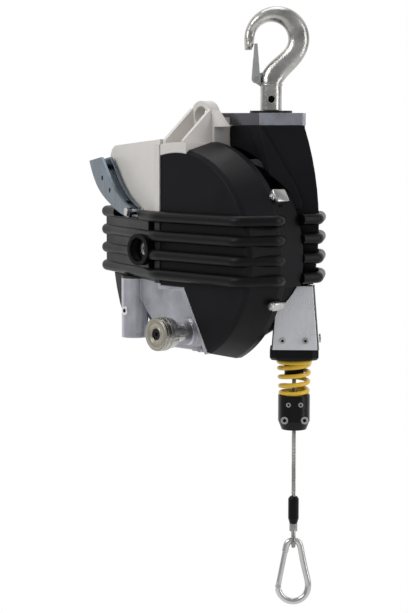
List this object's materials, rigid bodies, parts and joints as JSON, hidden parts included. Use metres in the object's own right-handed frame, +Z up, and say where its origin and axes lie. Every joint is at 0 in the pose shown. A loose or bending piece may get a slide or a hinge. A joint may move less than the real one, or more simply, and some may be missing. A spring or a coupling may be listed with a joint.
{
  "type": "tool balancer",
  "caption": "Spring balancer with swivel hook, wire rope with snap hook and buffer spring, black rubber bumper rings round a domed housing, light grey casting, locking plunger and lever.",
  "frame": {"origin": "bowl of the suspension hook, where the ring that carries the balancer sits", "axes": "+Z up along the swivel, +X from the drum's axis towards the rope and the nose, +Y along the drum's axis away from the spring cover"},
  "size_m": [0.336, 0.1903, 0.6942],
  "materials": {
    "forged_steel": "nickel-plated forging",
    "latch_steel": "plated sheet steel",
    "black_steel": "blackened steel",
    "beam_metal": "grey machined metal",
    "steel": "bright steel",
    "spring_steel": "blued spring steel",
    "cast_light": "light grey painted casting",
    "black_cover": "black moulding",
    "rubber": "black rubber",
    "wire_rope": "stranded wire rope",
    "yellow_spring": "yellow paint",
    "clamp_black": "black paint",
    "plate_silver": "silver sheet",
    "lever_blue": "zinc-plated sheet",
    "bronze": "bearing bronze"
  },
  "bodies": {
    "frame": {"thrust_bearing": "steel", "hook_washer": "black_steel", "main_frame": "beam_metal", "drum_shaft": "steel", "drum_housing": "black_cover", "nose_left": "black_cover", "nose_right": "black_cover", "joint_lugs": "steel", "joint_screws": "steel", "spring_casting": "cast_light", "dome_cover": "black_cover", "rim_bolts": "steel", "frame_bolt": "steel", "tail_cover": "black_cover", "lever_pin": "steel", "guide_frame": "black_cover", "guide_plate_left": "plate_silver", "guide_plate_right": "plate_silver", "guide_screws": "steel", "guide_block": "black_cover", "guide_bush": "bronze", "bumper": "rubber", "rope_run": "wire_rope"},
    "hook": {"hook": "forged_steel", "hook_nut": "steel", "nut_pin": "steel", "latch_pin": "steel"},
    "latch": {"hook_latch": "latch_steel"},
    "drum": {"rope_drum": "beam_metal", "drum_bearings": "steel", "rope_coil": "wire_rope", "spring_barrel": "steel", "drum_bolts": "steel", "barrel_cover": "steel", "mainspring": "spring_steel"},
    "winder": {"winding_hub": "steel"},
    "adjuster": {"adjust_pinion": "steel", "adjust_screw": "steel"},
    "plunger": {"plunger": "steel", "plunger_screw": "black_steel"},
    "lever": {"lever_blades": "lever_blue"},
    "rope_end": {"rope_drop": "wire_rope", "clamp_half_front": "clamp_black", "clamp_half_rear": "clamp_black", "clamp_screws": "steel", "buffer_spring": "yellow_spring", "rope_sleeve": "rubber", "rope_eye": "wire_rope"},
    "snap_hook": {"snap_frame": "latch_steel", "gate_pin": "steel"},
    "snap_gate": {"snap_gate": "latch_steel"}
  },
  "joints": [
    {"name": "hook_swivel", "type": "hinge", "parent": "frame", "child": "hook", "pos_m": [0, 0, 0], "axis": [0, 0, 1], "continuous": true},
    {"name": "latch_hinge", "type": "hinge", "parent": "hook", "child": "latch", "pos_m": [-0.01178, -0.01308, -0.065], "axis": [-0.7431, 0.6691, 0], "range_deg": [0, 20], "stiffness_Nm_per_rad": 0.05, "springref_deg": -34.38},
    {"name": "drum_spin", "type": "hinge", "parent": "frame", "child": "drum", "pos_m": [-0.0455, 0, -0.266], "axis": [0, 1, 0], "range_deg": [0, 1035], "stiffness_Nm_per_rad": 0.4, "springref_deg": -1432.39},
    {"name": "rope_slide", "type": "slide", "parent": "frame", "child": "rope_end", "axis": [0, 0, -1], "range_m": [0, 1.545], "deforming": ["rope_run"]},
    {"name": "winder_turn", "type": "hinge", "parent": "frame", "child": "winder", "pos_m": [-0.0455, 0, -0.266], "axis": [0, 1, 0], "continuous": true},
    {"name": "adjuster_turn", "type": "hinge", "parent": "frame", "child": "adjuster", "pos_m": [-0.1015, -0.095, -0.262], "axis": [0, 1, 0], "continuous": true},
    {"name": "plunger_slide", "type": "slide", "parent": "frame", "child": "plunger", "axis": [0, 1, 0], "range_m": [0, 0.0055]},
    {"name": "lever_swing", "type": "hinge", "parent": "frame", "child": "lever", "pos_m": [-0.12518, -0.0895, -0.2196], "axis": [0.2924, 0.9563, 0], "range_deg": [0, 40]},
    {"name": "snap_swing", "type": "hinge", "parent": "rope_end", "child": "snap_hook", "pos_m": [0.04, 0, -0.6], "axis": [0.6691, 0.7431, 0], "range_deg": [-25, 25]},
    {"name": "gate_hinge", "type": "hinge", "parent": "snap_hook", "child": "snap_gate", "pos_m": [0.02836, -0.01293, -0.654], "axis": [-0.7431, 0.6691, 0], "range_deg": [0, 20], "stiffness_Nm_per_rad": 0.02, "springref_deg": -45.84}
  ],
  "couplings": [
    {"joint": "rope_slide", "follows": "drum_spin", "m_per_rad": 0.0855},
    {"joint": "adjuster_turn", "follows": "winder_turn", "ratio": -1.4}
  ]
}
